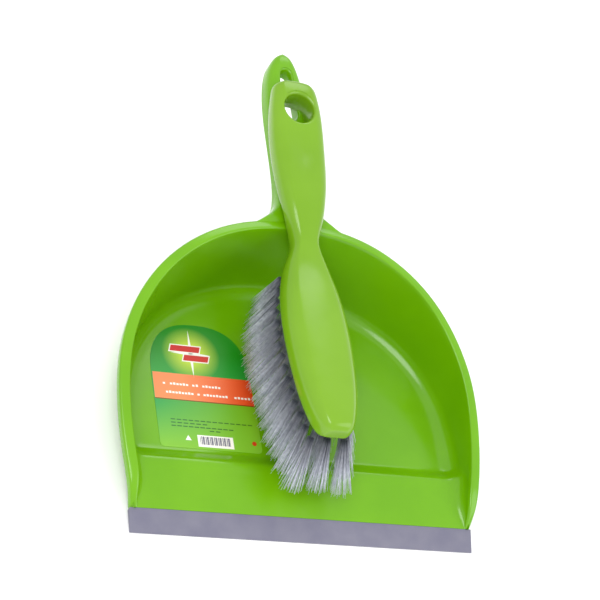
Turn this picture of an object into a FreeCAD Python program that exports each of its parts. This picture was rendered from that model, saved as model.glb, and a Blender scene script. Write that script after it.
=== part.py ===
import FreeCAD, Part
import math
import os
import Sketcher

# Dust pan and brush set, in millimetres.
# +X across the pan, +Y from the lip towards the handle, +Z up.
# The origin is on the pan's flat underside, at the centre of its rounded back.

V = FreeCAD.Vector
doc = FreeCAD.newDocument("pan_and_brush")

sizes = {
    # tray
    "tray_half": 118.6,          # half the width over the rim, at its widest
    "tray_back": 111.5,          # origin to the rim's back edge
    "tray_front": 65.0,          # origin to the front edge, where the lip starts
    "mouth_half": 110.3,         # half the width over the rim at the mouth
    "round_power": 2.15,         # 2 would make the back an ellipse, more is squarer
    "wall": 2.2,
    "floor_thick": 2.4,
    "floor_round": 10.0,         # radius where the floor turns up into the wall
    "draft": 8.0,                # degrees
    "rim_width": 6.6,
    "rim_thick": 2.2,
    "skirt_drop": 6.0,           # how far the rolled edge hangs under the rim
    "mouth_rim_width": 3.6,
    "rim_mouth_high": 5.2,
    "rim_shoulder_high": 19.0,   # top of the quick rise behind the mouth
    "shoulder_back": 20.0,       # mouth to that shoulder
    "rim_side_high": 29.6,       # rim height beside the origin
    "rim_back_high": 60.3,
    # ramp and lip
    "ramp_long": 32.0,
    "ramp_front_high": 5.2,
    "ramp_crest_high": 8.5,
    "step_long": 9.0,
    "ramp_thick": 2.2,
    "ramp_rib_thick": 1.6,
    "ramp_rib_pitch": 30.0,
    "lip_long": 13.7,
    "lip_half": 111.0,
    "lip_edge": 0.7,
    "tongue_long": 6.0,
    "tongue_thick": 1.2,
    "tongue_low": 2.0,
    # pan handle
    "grip_reach": 119.5,         # rim's back edge to the handle's tip
    "grip_rise": 20.2,           # tip's top above the rim's back edge
    "grip_root_half": 21.0,
    "grip_waist_half": 11.4,
    "grip_broad_half": 13.8,
    "grip_up": 6.0,              # widest line to the top
    "grip_down": 7.5,            # widest line to the open underside
    "grip_wall": 2.2,
    "slot_start": 70.0,          # rim's back edge to the slot's wide end
    "slot_long": 37.0,
    "slot_wide": 12.4,
    "slot_narrow": 7.0,
    # label
    "label_thick": 0.2,
    "label_left": 86.0,
    "label_right": 21.0,
    "label_straight": 28.0,      # origin to where the arch starts
    "label_back_gap": 46.5,      # arch's top to the tray's back edge
    "label_arch": "=tray_back - label_straight - label_back_gap",
    "label_setback": 2.0,        # step's foot to the label's lower edge
    # brush
    "head_setback": 24.7,        # mouth to the head's end
    "head_half": 21.1,
    "head_end_half": 11.5,
    "head_base_high": 49.6,
    "head_tall": 17.0,
    "neck_half": 8.9,
    "neck_ahead": 19.2,          # neck to the rim's back edge
    "hand_half": 17.6,
    "hand_end_half": 14.6,
    "hand_reach": 89.5,          # rim's back edge to the brush's end
    "hand_tall": 8.7,            # widest line to the top
    "hand_wall": 2.2,
    "over_round": 2.5,           # power of the upper half of a section
    "under_round": 5.0,          # power of the lower half
    "nest": 3.0,                 # how deep the pan's handle sits in the brush's
    "seat_gap": 0.3,
    "hang_radius": 10.0,
    "hang_wall": 2.2,
    "hang_ahead": 20.0,          # hole's centre to the brush's end
    # tufts
    "tuft_hole_radius": 2.3,
    "tuft_hole_deep": 9.0,
    "tuft_clearance": 0.6,       # tuft to hole, at the anchor
    "tuft_root_radius": "=tuft_hole_radius - tuft_clearance",
    "tuft_tip_radius": 3.5,
    "tuft_free": 43.0,           # head's underside to the tips, straight down
    "rank_pitch": 7.6,
    "rank_first": 11.0,          # head's end to the first rank
    "rank_last": 15.0,           # last rank to the neck
    "row_pitch": 8.8,
    "row_margin": 4.7,
    "lean_side": 25.0,           # degrees, outermost row
    "lean_even": 13.0,           # degrees towards the lip, dying away to none at the last rank
    "lean_front": 25.0,          # degrees more at the first rank
    "front_lift": 6.0,           # how much higher the first rank's tips stay, over the ramp
    "anchor_long": 3.6,
    "anchor_thick": 0.6,
    "anchor_tall": 1.0,
}

sheet = doc.addObject("Spreadsheet::Sheet", "dims")
for row, (word, value) in enumerate(sizes.items(), start=1):
    sheet.set(f"A{row}", word)
    sheet.set(f"B{row}", str(value))
    sheet.setAlias(f"B{row}", word)
doc.recompute()


def size(word):
    return float(getattr(sheet, word))


def feature(name, shape):
    made = doc.addObject("Part::Feature", name)
    made.Shape = shape
    return made


def cut(name, base, tool):
    made = doc.addObject("Part::Cut", name)
    made.Base = base
    made.Tool = tool
    return made


def common(name, first, second):
    made = doc.addObject("Part::Common", name)
    made.Base = first
    made.Tool = second
    return made


def fuse(name, pieces):
    made = doc.addObject("Part::MultiFuse", name)
    made.Shapes = pieces
    made.Refine = False
    return made


def together(name, pieces):
    made = doc.addObject("Part::Compound", name)
    made.Links = pieces
    return made


def smooth(points):
    curve = Part.BSplineCurve()
    curve.interpolate(points)
    return curve.toShape()


# ---------------------------------------------------------------- the tray

tray_half = size("tray_half")
tray_back = size("tray_back")
tray_front = size("tray_front")
rim_back_high = size("rim_back_high")
slope = math.tan(math.radians(size("draft")))


def tray_outline(half, back, mouth, front, high):
    """A closed wire: straight mouth, sides that swell, and a squarish round back."""
    power = 2 / size("round_power")
    right = []
    for step in range(3):
        y = -front * (3 - step) / 3
        right.append(V(half - (half - mouth) * (y / front) ** 2, y, high))
    for turn in range(0, 90, 15):
        angle = math.radians(turn)
        x = half * math.cos(angle) ** power
        right.append(V(x, back * math.sin(angle) ** power, high))
    left = [V(-p.x, p.y, p.z) for p in reversed(right)]
    around = smooth(right + [V(0, back, high)] + left)
    mouth_line = Part.makeLine(left[-1], right[0])
    return Part.Wire([around, mouth_line])


def prism(wire, low, high):
    base = wire.copy()
    base.translate(V(0, 0, low))
    return Part.Face(base).extrude(V(0, 0, high - low))


def tray_cone(inset, low, high, front):
    """The wall's surface as a solid: drafted, with a round foot, inset from the rim's edge."""
    sections = []
    for level in (low, high):
        half = tray_half - inset + (level - size("rim_side_high")) * slope
        back = tray_back - inset + (level - rim_back_high) * slope
        mouth_inset = inset - size("rim_width") + size("mouth_rim_width")
        mouth = size("mouth_half") - mouth_inset + (level - size("rim_mouth_high")) * slope
        sections.append(tray_outline(half, back, mouth, front, level))
    return Part.makeLoft(sections, True, True)


def round_foot(solid, radius, low):
    edges = []
    for edge in solid.Edges:
        box = edge.BoundBox
        level = box.ZMax - box.ZMin < 0.01 and abs(box.ZMin - low) < 0.01
        if level and box.YLength > radius:
            edges.append(edge)
    return solid.makeFillet(radius, edges)


rim_stations = [
    V(0, -tray_front - 1, size("rim_mouth_high") - 1.2),
    V(0, -tray_front + 9, (size("rim_mouth_high") + 2 * size("rim_shoulder_high")) / 3),
    V(0, -tray_front + size("shoulder_back"), size("rim_shoulder_high")),
    V(0, -tray_front + 2 * size("shoulder_back"), size("rim_shoulder_high") + 4.8),
    V(0, 0, size("rim_side_high")),
    V(0, 0.46 * tray_back, size("rim_side_high") + 0.4 * (rim_back_high - size("rim_side_high"))),
    V(0, tray_back, rim_back_high),
    V(0, tray_back + 12, rim_back_high + 4),
]
rim_line = smooth(rim_stations)
far = tray_half + 20          # past the tray on both sides
sky = rim_back_high + 60      # above everything


def rim_band(name, depth):
    """Everything up to depth under the rim's line, right across the tray."""
    low_line = rim_line.copy()
    low_line.translate(V(0, 0, -depth))
    ends = []
    for which in (0, -1):
        top = rim_stations[which]
        ends.append(Part.makeLine(top, top - V(0, 0, depth)))
    face = Part.Face(Part.Wire(Part.__sortEdges__([rim_line, ends[1], low_line, ends[0]])))
    face.translate(V(-far, 0, 0))
    return feature(name, face.extrude(V(2 * far, 0, 0)))


def above_rim(name):
    first = rim_stations[0]
    last = rim_stations[-1]
    lines = [
        rim_line,
        Part.makeLine(last, V(0, last.y, sky)),
        Part.makeLine(V(0, last.y, sky), V(0, first.y, sky)),
        Part.makeLine(V(0, first.y, sky), first),
    ]
    face = Part.Face(Part.Wire(Part.__sortEdges__(lines)))
    face.translate(V(-far, 0, 0))
    return feature(name, face.extrude(V(2 * far, 0, 0)))


inner_inset = size("rim_width")
outer_inset = inner_inset - size("wall")
floor_thick = size("floor_thick")
outer_foot = size("floor_round") + size("wall")
tray_top = rim_back_high + 8

block = feature("tray_block", round_foot(tray_cone(outer_inset, 0, tray_top, tray_front), outer_foot, 0))
room = tray_cone(inner_inset, floor_thick, tray_top + 1, tray_front + 30)
hollow = feature("tray_hollow", round_foot(room, size("floor_round"), floor_thick))
shell_full = cut("tray_shell_full", block, hollow)
sky_block = above_rim("above_rim")
shell = cut("tray_shell", shell_full, sky_block)


def rim_ring(name, width, mouth_width, depth):
    outer = tray_outline(tray_half, tray_back, size("mouth_half"), tray_front, 0)
    inner = tray_outline(
        tray_half - width, tray_back - width, size("mouth_half") - mouth_width, tray_front + 10, 0
    )
    ring = prism(outer, 0, sky).cut(prism(inner, -1, sky + 1))
    return common(name, feature(name + "_plan", ring), rim_band(name + "_band", depth))


over = size("wall") + 1       # the rim starts inside the wall and is trimmed by the tray's hollow
rim_wide = rim_ring("rim_wide", size("rim_width") + over, size("mouth_rim_width") + over, size("rim_thick"))
flange = cut("rim_flange", rim_wide, hollow)
skirt = rim_ring("rim_skirt", size("rim_thick"), size("rim_thick"), size("skirt_drop"))

# The ramp rises from the mouth, then steps down to the floor.

crest = -tray_front + size("ramp_long")
step_foot = crest + size("step_long")
ramp_thick = size("ramp_thick")
front_low = size("ramp_front_high") - ramp_thick - 1.6
tongue_top = size("tongue_low") + size("tongue_thick")
tongue_tip = -tray_front - size("tongue_long")
tongue_drop = 1.0             # the tongue follows the lip's slope


def slab(name, outline, left, wide):
    """A straight extrusion across the pan of an outline given as (y, z) pairs."""
    points = [V(left, y, z) for y, z in outline]
    face = Part.Face(Part.makePolygon(points + [points[0]]))
    return feature(name, face.extrude(V(wide, 0, 0)))


ramp_outline = [
    (-tray_front, front_low),
    (-tray_front, size("ramp_front_high")),
    (crest - 2, size("ramp_crest_high") - 0.2),
    (crest, size("ramp_crest_high")),
    (crest + 1.5, size("ramp_crest_high") - 0.6),
    (step_foot, floor_thick),
    (step_foot + 2, 0),
    (step_foot - 1.5, 0),
    (crest, size("ramp_crest_high") - ramp_thick),
    (-tray_front + 3, size("ramp_front_high") - ramp_thick),
]
ramp_slab = slab("ramp_slab", ramp_outline, -far, 2 * far)
under_outline = [
    (-tray_front - 1, -1),
    (-tray_front - 1, front_low + 1),
    (-tray_front, front_low + 1),
    (crest, size("ramp_crest_high") - 1),
    (step_foot - 0.5, 1),
    (step_foot - 0.5, -1),
]
under_half = size("mouth_half") - size("mouth_rim_width") - size("floor_round") - size("wall") - 2
under_ramp = slab("under_ramp", under_outline, -under_half, 2 * under_half)
shell_open = cut("tray_shell_open", shell, under_ramp)
rib_outline = [
    (-tray_front + 1, front_low),
    (-tray_front + 1, size("ramp_front_high") - 1),
    (crest, size("ramp_crest_high") - 1),
    (step_foot, 1),
    (step_foot, 0.4),
    (crest - 6, 0.4),
]
rib_count = int((size("mouth_half") - 12) / size("ramp_rib_pitch"))
ribs = []
for number in range(-rib_count, rib_count + 1):
    left = number * size("ramp_rib_pitch") - size("ramp_rib_thick") / 2
    ribs.append(slab(f"ramp_rib_{number + rib_count + 1}", rib_outline, left, size("ramp_rib_thick")))
ramp_whole = fuse("ramp_whole", [ramp_slab] + ribs)
ramp = common("ramp", ramp_whole, block)

tongue_outline = [
    (-tray_front + 1, size("tongue_low")),
    (-tray_front + 1, tongue_top),
    (-tray_front, tongue_top),
    (tongue_tip, tongue_top - tongue_drop),
    (tongue_tip, size("tongue_low") - tongue_drop),
    (-tray_front, size("tongue_low")),
]
tongue_half = size("mouth_half") - 6
tongue = slab("tongue", tongue_outline, -tongue_half, 2 * tongue_half)

# --------------------------------------------------------- lofted handles


def section(y, half, middle, up, down):
    """A closed wire across Y whose upper and lower halves are squared ellipses."""
    halves = []
    for tall, word, start in ((up, "over_round", 0), (-down, "under_round", 180)):
        power = 2 / size(word)
        points = []
        for turn in range(0, 181, 20):
            angle = math.radians(turn)
            x = math.copysign(half * abs(math.cos(angle)) ** power, math.cos(angle))
            if start:
                x = -x
            points.append(V(x, y, middle + tall * abs(math.sin(angle)) ** power))
        points[0].z = middle
        points[-1].z = middle
        halves.append(smooth(points))
    return Part.Wire(halves)


def loft(name, stations):
    return feature(name, Part.makeLoft([section(*station) for station in stations], True, False))


def between(stations, y):
    """The station at y, in proportion between its neighbours."""
    for near, away in zip(stations, stations[1:]):
        if near[0] <= y <= away[0]:
            share = (y - near[0]) / (away[0] - near[0])
            return [a + share * (b - a) for a, b in zip(near, away)]
    return list(stations[-1])


# The pan's handle is an open-bottomed channel that leaves the rim's back edge.

grip_tip = tray_back + size("grip_reach")
grip_slope = size("grip_rise") / size("grip_reach")
grip_up = size("grip_up")
grip_down = size("grip_down")


def grip_top(y):
    return rim_back_high + (y - tray_back) * grip_slope


grip_shape = [                # past the rim's back edge, half width, share of the full height
    (-5.5, size("grip_root_half"), 0.66),
    (1.0, 0.82 * size("grip_root_half"), 0.8),
    (8.0, 1.03 * size("grip_waist_half"), 1.0),
    (20.0, size("grip_waist_half"), 1.0),
    (45.0, 1.06 * size("grip_waist_half"), 1.0),
    (78.0, size("grip_broad_half"), 1.0),
    (93.0, 0.97 * size("grip_broad_half"), 1.0),
    (106.0, 0.76 * size("grip_broad_half"), 0.98),
    (115.0, 0.46 * size("grip_broad_half"), 0.9),
    (size("grip_reach"), 0.2 * size("grip_broad_half"), 0.7),
]
grip_stations = []
for past, half, share in grip_shape:
    y = tray_back + past
    top = grip_top(y) - (1.4 if past < 0 else 0.0) - (1 - share) * 2.0
    grip_stations.append((y, half, top - grip_up * share, grip_up * share, grip_down * share))
grip_solid = loft("grip_solid", grip_stations)

grip_wall = size("grip_wall")
grip_room_stations = []
for y in (4.0, 20.0, 45.0, 78.0, 93.0, 103.0):
    near = between(grip_stations, tray_back + y)
    low_end = near[4] + 6
    grip_room_stations.append((near[0], near[1] - grip_wall, near[2], near[3] - grip_wall, low_end))
grip_room = loft("grip_room", grip_room_stations)

slot_start = tray_back + size("slot_start")
slot_end = slot_start + size("slot_long")
slot_wide = size("slot_wide") / 2
slot_narrow = size("slot_narrow") / 2


def slot_prism(name, grow):
    """The slot's shape, round at both ends and narrower towards the tip."""
    near = V(0, slot_start + slot_wide, 0)
    away = V(0, slot_end - slot_narrow, 0)
    wide = slot_wide + grow
    narrow = slot_narrow + grow
    tilt = math.asin((wide - narrow) / (away.y - near.y))
    side = V(math.cos(tilt), math.sin(tilt), 0)
    other = V(-side.x, side.y, 0)
    edges = [
        Part.makeLine(near + side * wide, away + side * narrow),
        Part.Arc(away + side * narrow, away + V(0, narrow, 0), away + other * narrow).toShape(),
        Part.makeLine(away + other * narrow, near + other * wide),
        Part.Arc(near + other * wide, near - V(0, wide, 0), near + side * wide).toShape(),
    ]
    return feature(name, prism(Part.Wire(edges), 0, sky))


slot = slot_prism("slot", 0)
slot_wall = common("slot_wall", slot_prism("slot_wall_plan", grip_wall), grip_solid)
grip_shell = cut("grip_shell", grip_solid, grip_room)
grip_walled = fuse("grip_walled", [grip_shell, slot_wall])
grip_slotted = cut("grip_slotted", grip_walled, slot)
grip = cut("grip", grip_slotted, hollow)
pan_bowl = fuse("pan_bowl", [shell_open, flange, skirt, ramp, tongue])
pan_tray = fuse("pan_tray", [pan_bowl, grip])

# -------------------------------------------------------------- the lip

lip_tip = -tray_front - size("lip_long")


def profile_body(name, label, plane, corners, length, sides):
    """A body padded from one polygon whose corners are bound to the sheet."""
    body = doc.addObject("PartDesign::Body", name)
    body.Label = label
    sketch = body.newObject("Sketcher::SketchObject", name + "_sketch")
    for origin_plane in body.Origin.OriginFeatures:
        if origin_plane.Role == plane:
            sketch.AttachmentSupport = [(origin_plane, "")]
    sketch.MapMode = "FlatFace"
    starts = [corner[:2] for corner in corners]
    count = len(starts)
    for number in range(count):
        a = V(starts[number][0], starts[number][1], 0)
        b = V(starts[(number + 1) % count][0], starts[(number + 1) % count][1], 0)
        sketch.addGeometry(Part.LineSegment(a, b))
    for number in range(count):
        after = (number + 1) % count
        sketch.addConstraint(Sketcher.Constraint("Coincident", number, 2, after, 1))
    for number, (across, along, across_words, along_words) in enumerate(corners):
        for kind, value, words in (("DistanceX", across, across_words), ("DistanceY", along, along_words)):
            index = sketch.addConstraint(Sketcher.Constraint(kind, -1, 1, number, 1, value))
            sketch.setExpression(f"Constraints[{index}]", words)
    pad = body.newObject("PartDesign::Pad", name + "_pad")
    pad.Profile = sketch
    pad.setExpression("Length", length)
    if sides == "both":
        pad.SideType = "Symmetric"
    doc.recompute()
    return body


lip_corners = [
    (-tray_front, front_low, "-dims.tray_front", "dims.ramp_front_high - dims.ramp_thick - 1.6"),
    (lip_tip, 0.0, "-dims.tray_front - dims.lip_long", "0"),
    (lip_tip, size("lip_edge"), "-dims.tray_front - dims.lip_long", "dims.lip_edge"),
    (-tray_front, size("ramp_front_high"), "-dims.tray_front", "dims.ramp_front_high"),
]
lip_body = profile_body("lip_profile", "lip_profile", "YZ_Plane", lip_corners, "2 * dims.lip_half", "both")
pan_lip = cut("pan_lip", lip_body, tongue)

# ------------------------------------------------------------ the label

label_thick = size("label_thick")
label_low = step_foot + size("label_setback")
label_left = -size("label_left")
label_right = -size("label_right")
label_top = size("label_straight")
label_middle = (label_left + label_right) / 2
arch_half = (label_right - label_left) / 2
arch = []
for turn in range(0, 181, 20):
    angle = math.radians(turn)
    power = 2 / size("over_round")
    x = math.copysign(arch_half * abs(math.cos(angle)) ** power, math.cos(angle))
    arch.append(V(label_middle + x, label_top + size("label_arch") * abs(math.sin(angle)) ** power, 0))
arch[0].y = label_top
arch[-1].y = label_top
label_wire = Part.Wire([
    smooth(arch),
    Part.makeLine(arch[-1], V(label_left, label_low, 0)),
    Part.makeLine(V(label_left, label_low, 0), V(label_right, label_low, 0)),
    Part.makeLine(V(label_right, label_low, 0), arch[0]),
])
pan_label = feature("pan_label", prism(label_wire, floor_thick, floor_thick + label_thick))

# ------------------------------------------------------------ the brush

head_end = -tray_front + size("head_setback")
neck = tray_back - size("neck_ahead")
hand_end = tray_back + size("hand_reach")
head_base = size("head_base_high")
head_half = size("head_half")
head_top = head_base + size("head_tall")
hand_tall = size("hand_tall")
nest = size("nest")


def head_station(share, half, low_lift, drop):
    """A section of the head, at a share of the way from its end to the neck."""
    low = head_base + low_lift
    top = head_top - drop
    under = 0.2 * (top - low)
    return (head_end + share * (neck - head_end), half, low + under, top - low - under, under)


def hand_station(past, half, top_rise, low):
    """A section of the handle, past the rim's back edge."""
    top = rim_back_high + top_rise
    middle = top - hand_tall
    return (tray_back + past, half, middle, hand_tall, middle - low)


head_end_half = size("head_end_half")
hand_half = size("hand_half")
brush_stations = [
    head_station(0.0, 0.62 * head_end_half, 3.0, 5.5),
    head_station(0.02, 0.92 * head_end_half, 0.8, 1.8),
    head_station(0.1, 0.5 * (head_end_half + 0.84 * head_half), 0.0, 0.4),
    head_station(0.27, 0.9 * head_half, 0.0, 0.0),
    head_station(0.53, head_half, 0.0, 0.0),
    head_station(0.73, 0.92 * head_half, 0.0, 0.2),
    head_station(0.88, 0.7 * head_half, 0.6, 0.6),
    (neck, size("neck_half"), head_base + 9.0, 9.4, 4.5),
    hand_station(-5.0, 1.33 * size("neck_half"), 12.4, rim_back_high - 0.7),
    hand_station(3.0, 0.77 * hand_half, 14.8, rim_back_high + 1.8),
    hand_station(20.0, 0.92 * hand_half, 18.2, grip_top(tray_back + 20) - nest + 2.2),
    hand_station(44.0, hand_half, 21.8, grip_top(tray_back + 44) - nest),
    hand_station(67.0, 0.97 * hand_half, 26.6, grip_top(tray_back + 67) - nest),
    hand_station(82.0, size("hand_end_half"), 29.0, grip_top(tray_back + 82) + size("seat_gap")),
    hand_station(size("hand_reach") - 1.6, 0.86 * size("hand_end_half"), 28.6, grip_top(hand_end) + 1.0),
    hand_station(size("hand_reach"), 0.66 * size("hand_end_half"), 27.6, grip_top(hand_end) + 1.6),
]
brush_solid = loft("brush_solid", brush_stations)

hand_wall = size("hand_wall")
hand_room_stations = []
for past in (9.5, 20.0, 44.0, 67.0, 78.0, 85.0):
    near = between(brush_stations, tray_back + past)
    roof = near[3] - hand_wall
    hand_room_stations.append((near[0], near[1] - hand_wall, near[2], roof, near[4] + 12))
hand_room = loft("hand_room", hand_room_stations)
brush_shell = cut("brush_shell", brush_solid, hand_room)

# The hanging hole is square to the handle, with a tube wall that stands on the pan's handle.

hang_y = hand_end - size("hang_ahead")
hang_tilt = math.degrees(math.atan(grip_slope))
hang_foot = grip_top(hang_y) + size("seat_gap") / math.cos(math.radians(hang_tilt))


def hang_cylinder(name, words, foot):
    made = doc.addObject("Part::Cylinder", name)
    made.setExpression("Radius", words)
    made.Height = sky
    place = FreeCAD.Placement(V(0, hang_y, hang_foot), FreeCAD.Rotation(V(1, 0, 0), hang_tilt))
    made.Placement = place.multiply(FreeCAD.Placement(V(0, 0, foot), FreeCAD.Rotation()))
    return made


hang_tube = common("hang_tube", hang_cylinder("hang_wall_rod", "dims.hang_radius + dims.hang_wall", 0), brush_solid)
hang_hole = hang_cylinder("hang_hole", "dims.hang_radius", -20)

# Cross ribs stiffen the handle's hollow and stand on the pan's handle.


def hand_rib(number, past):
    y = tray_back + past
    low = grip_top(y) + size("seat_gap")
    outline = [(y, low), (y, sky), (y + hand_wall, sky), (y + hand_wall, low + grip_slope * hand_wall)]
    plate = slab(f"hand_rib_plate_{number}", outline, -far, 2 * far)
    return common(f"hand_rib_{number}", plate, brush_solid)


hand_ribs = [hand_rib(number, past) for number, past in enumerate((24.0, 40.0, 56.0), start=1)]
brush_ribbed = fuse("brush_ribbed", [brush_shell, hang_tube] + hand_ribs)

# -------------------------------------------------- tufts and their anchors

root_deep = size("tuft_hole_deep") - size("anchor_tall")
rank_start = head_end + size("rank_first")
rank_room = neck - size("rank_last") - rank_start
rank_count = int(rank_room / size("rank_pitch")) + 1


def tuft_places(rank):
    """Where each tuft of a rank leaves the head and the way it points, and its length outside."""
    share = rank / (rank_count - 1)
    y = rank_start + rank * size("rank_pitch")
    span = between(brush_stations, y)[1] - size("row_margin")
    rows = int(2 * span / size("row_pitch")) + 1
    lean_along = -size("lean_even") * (1 - share ** 2) - size("lean_front") * (1 - share) ** 3
    drop = size("tuft_free") - size("front_lift") * (1 - share) ** 2
    places = []
    for row in range(rows):
        across = 0.0 if rows == 1 else -1 + 2 * row / (rows - 1)
        x = across * span
        lean_across = size("lean_side") * x / (head_half - size("row_margin"))
        turn = FreeCAD.Rotation(V(1, 0, 0), 180 + lean_along)
        turn = FreeCAD.Rotation(V(0, 1, 0), -lean_across).multiply(turn)
        length = drop / math.cos(math.radians(lean_across)) / math.cos(math.radians(lean_along))
        places.append((FreeCAD.Placement(V(x, y, head_base), turn), length))
    return places


def rod(name, place, deep, radius, far_radius, height):
    """A cone or, where both radii are the same, a cylinder, starting deep inside the head."""
    same = radius == far_radius
    made = doc.addObject("Part::Cylinder" if same else "Part::Cone", name)
    if same:
        made.setExpression("Radius", radius)
    else:
        made.setExpression("Radius1", radius)
        made.setExpression("Radius2", far_radius)
    made.setExpression("Height", height)
    made.Placement = place.multiply(FreeCAD.Placement(V(0, 0, -deep), FreeCAD.Rotation()))
    return made


holes = []
anchors = []
tuft_nodes = []
for rank in range(rank_count):
    rank_tufts = []
    for row, (place, length) in enumerate(tuft_places(rank), start=1):
        tag = f"{rank + 1}_{row}"
        hole_size = "dims.tuft_hole_radius"
        hole_deep = size("tuft_hole_deep")
        holes.append(rod(f"hole_{tag}", place, hole_deep, hole_size, hole_size, "2 * dims.tuft_hole_deep"))
        tuft = rod(
            f"tuft_{tag}",
            place,
            root_deep,
            "dims.tuft_root_radius",
            "dims.tuft_tip_radius",
            f"dims.tuft_hole_deep - dims.anchor_tall + {length:.3f}",
        )
        rank_tufts.append(tuft)
        anchor = doc.addObject("Part::Box", f"anchor_{tag}")
        anchor.setExpression("Length", "dims.anchor_long")
        anchor.setExpression("Width", "dims.anchor_thick")
        anchor.setExpression("Height", "dims.anchor_tall")
        corner = V(-size("anchor_long") / 2, -size("anchor_thick") / 2, -size("tuft_hole_deep"))
        anchor.Placement = place.multiply(FreeCAD.Placement(corner, FreeCAD.Rotation()))
        anchors.append(anchor)
    tuft_nodes.append(together(f"tufts_rank_{rank + 1:02d}", rank_tufts))

hole_group = together("tuft_holes", holes + [hang_hole])
brush_body = cut("brush_body", brush_ribbed, hole_group)
tuft_anchors = together("tuft_anchors", anchors)

# ------------------------------------------------------------- write out

nodes = [pan_tray, pan_lip, pan_label, brush_body, tuft_anchors] + tuft_nodes
for node in nodes:
    node.Label = node.Name
doc.recompute()

for made in doc.Objects:
    if "Invalid" in made.State or "Error" in made.State:
        raise RuntimeError(f"{made.Name} failed: {made.State}")
os.makedirs("parts", exist_ok=True)
for node in nodes:
    shape = node.Shape
    if shape.isNull() or not shape.isValid():
        raise RuntimeError(f"{node.Label} has no valid shape")
    shape.exportStep(f"parts/{node.Label}.step")
    box = shape.BoundBox
    print(f"{node.Label}: {len(shape.Solids)} solids, {shape.Volume:.0f} mm3,",
          f"{box.XLength:.1f} x {box.YLength:.1f} x {box.ZLength:.1f}")
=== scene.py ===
import math
import bpy
import numpy as np
from mathutils import Matrix, Vector


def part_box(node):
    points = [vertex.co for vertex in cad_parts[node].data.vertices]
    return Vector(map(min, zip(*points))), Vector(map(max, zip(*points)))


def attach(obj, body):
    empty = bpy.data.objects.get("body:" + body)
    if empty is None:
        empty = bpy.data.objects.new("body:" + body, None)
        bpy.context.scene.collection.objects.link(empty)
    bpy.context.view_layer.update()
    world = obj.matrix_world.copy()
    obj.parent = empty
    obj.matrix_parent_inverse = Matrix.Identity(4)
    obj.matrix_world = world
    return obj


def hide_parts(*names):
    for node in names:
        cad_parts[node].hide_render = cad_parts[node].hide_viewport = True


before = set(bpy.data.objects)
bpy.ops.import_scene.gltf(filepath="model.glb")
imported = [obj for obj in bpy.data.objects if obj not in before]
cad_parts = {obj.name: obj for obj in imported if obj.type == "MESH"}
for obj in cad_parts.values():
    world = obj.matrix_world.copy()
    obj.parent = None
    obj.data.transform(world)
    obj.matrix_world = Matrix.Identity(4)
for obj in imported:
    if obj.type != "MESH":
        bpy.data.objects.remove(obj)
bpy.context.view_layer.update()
mm = 0.001

# what the frame says about where things are, in millimetres
panLow, panHigh = [Vector(corner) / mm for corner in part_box("pan_tray")]
lipLow, lipHigh = [Vector(corner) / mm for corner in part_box("pan_lip")]
brushLow, brushHigh = [Vector(corner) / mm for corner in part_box("brush_body")]
labelLow, labelHigh = [Vector(corner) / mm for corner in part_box("pan_label")]
tuftNodes = sorted(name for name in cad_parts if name.startswith("tufts_rank"))
print("frame loaded, brush runs", round(brushLow.y), "to", round(brushHigh.y), "mm")


def smoothStep(low, high, value):
    share = min(max((value - low) / (high - low), 0.0), 1.0)
    return share * share * (3 - 2 * share)


def alongLine(points, value):
    return float(np.interp(value, [p[0] for p in points], [p[1] for p in points]))


def softLine(points, value, spread=3.0):
    # a line through points with its corners rounded over the spread
    steps = (-1.0, -0.5, 0.0, 0.5, 1.0)
    return sum(alongLine(points, value + spread * s) for s in steps) / len(steps)


def selectOnly(*objects):
    bpy.ops.object.select_all(action="DESELECT")
    for obj in objects:
        obj.select_set(True)
    bpy.context.view_layer.objects.active = objects[0]


def applyModifier(obj, kind, **settings):
    selectOnly(obj)
    modifier = obj.modifiers.new(kind.title(), kind)
    for word, value in settings.items():
        setattr(modifier, word, value)
    bpy.ops.object.modifier_apply(modifier=modifier.name)


def gridFrom(name, rows):
    # a primitive grid whose vertices are then placed row by row
    rowCount, columnCount = len(rows), len(rows[0])
    bpy.ops.object.select_all(action="DESELECT")
    bpy.ops.mesh.primitive_grid_add(x_subdivisions=columnCount - 1, y_subdivisions=rowCount - 1, size=1)
    obj = bpy.context.object
    obj.name = name
    places = np.array(rows, float).reshape(-1, 3) * mm
    obj.data.vertices.foreach_set("co", places.ravel())
    obj.data.update()
    return obj


def outwardNormals(obj):
    selectOnly(obj)
    bpy.ops.object.mode_set(mode="EDIT")
    bpy.ops.mesh.select_all(action="SELECT")
    bpy.ops.mesh.remove_doubles(threshold=0.00002)
    bpy.ops.mesh.dissolve_degenerate(threshold=0.00001)
    bpy.ops.mesh.normals_make_consistent(inside=False)
    bpy.ops.object.mode_set(mode="OBJECT")


def faceUp(obj):
    # turns an open sheet so that its faces look up on the whole
    if sum(face.normal.z * face.area for face in obj.data.polygons) < 0:
        selectOnly(obj)
        bpy.ops.object.mode_set(mode="EDIT")
        bpy.ops.mesh.select_all(action="SELECT")
        bpy.ops.mesh.flip_normals()
        bpy.ops.object.mode_set(mode="OBJECT")


def shadeSmooth(obj, degrees):
    selectOnly(obj)
    bpy.ops.object.shade_smooth_by_angle(angle=math.radians(degrees))


def joinPieces(first, others):
    selectOnly(first, *others)
    bpy.ops.object.join()
    return first


def placeInMesh(obj):
    selectOnly(obj)
    bpy.ops.object.transform_apply(location=True, rotation=True, scale=True)


# ---- the camera, at the angle the set is seen from

view = {
    "target": (0, 45, 15),
    "back": (-0.41813, -0.51780, 0.74636),   # from the target to the camera
    "distance": 1125.9,
    "roll": 37.25,
    "lens": 110.3,
    "shift": (0.0226, 0.0856),
    "clip": (0.05, 20),
}


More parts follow.
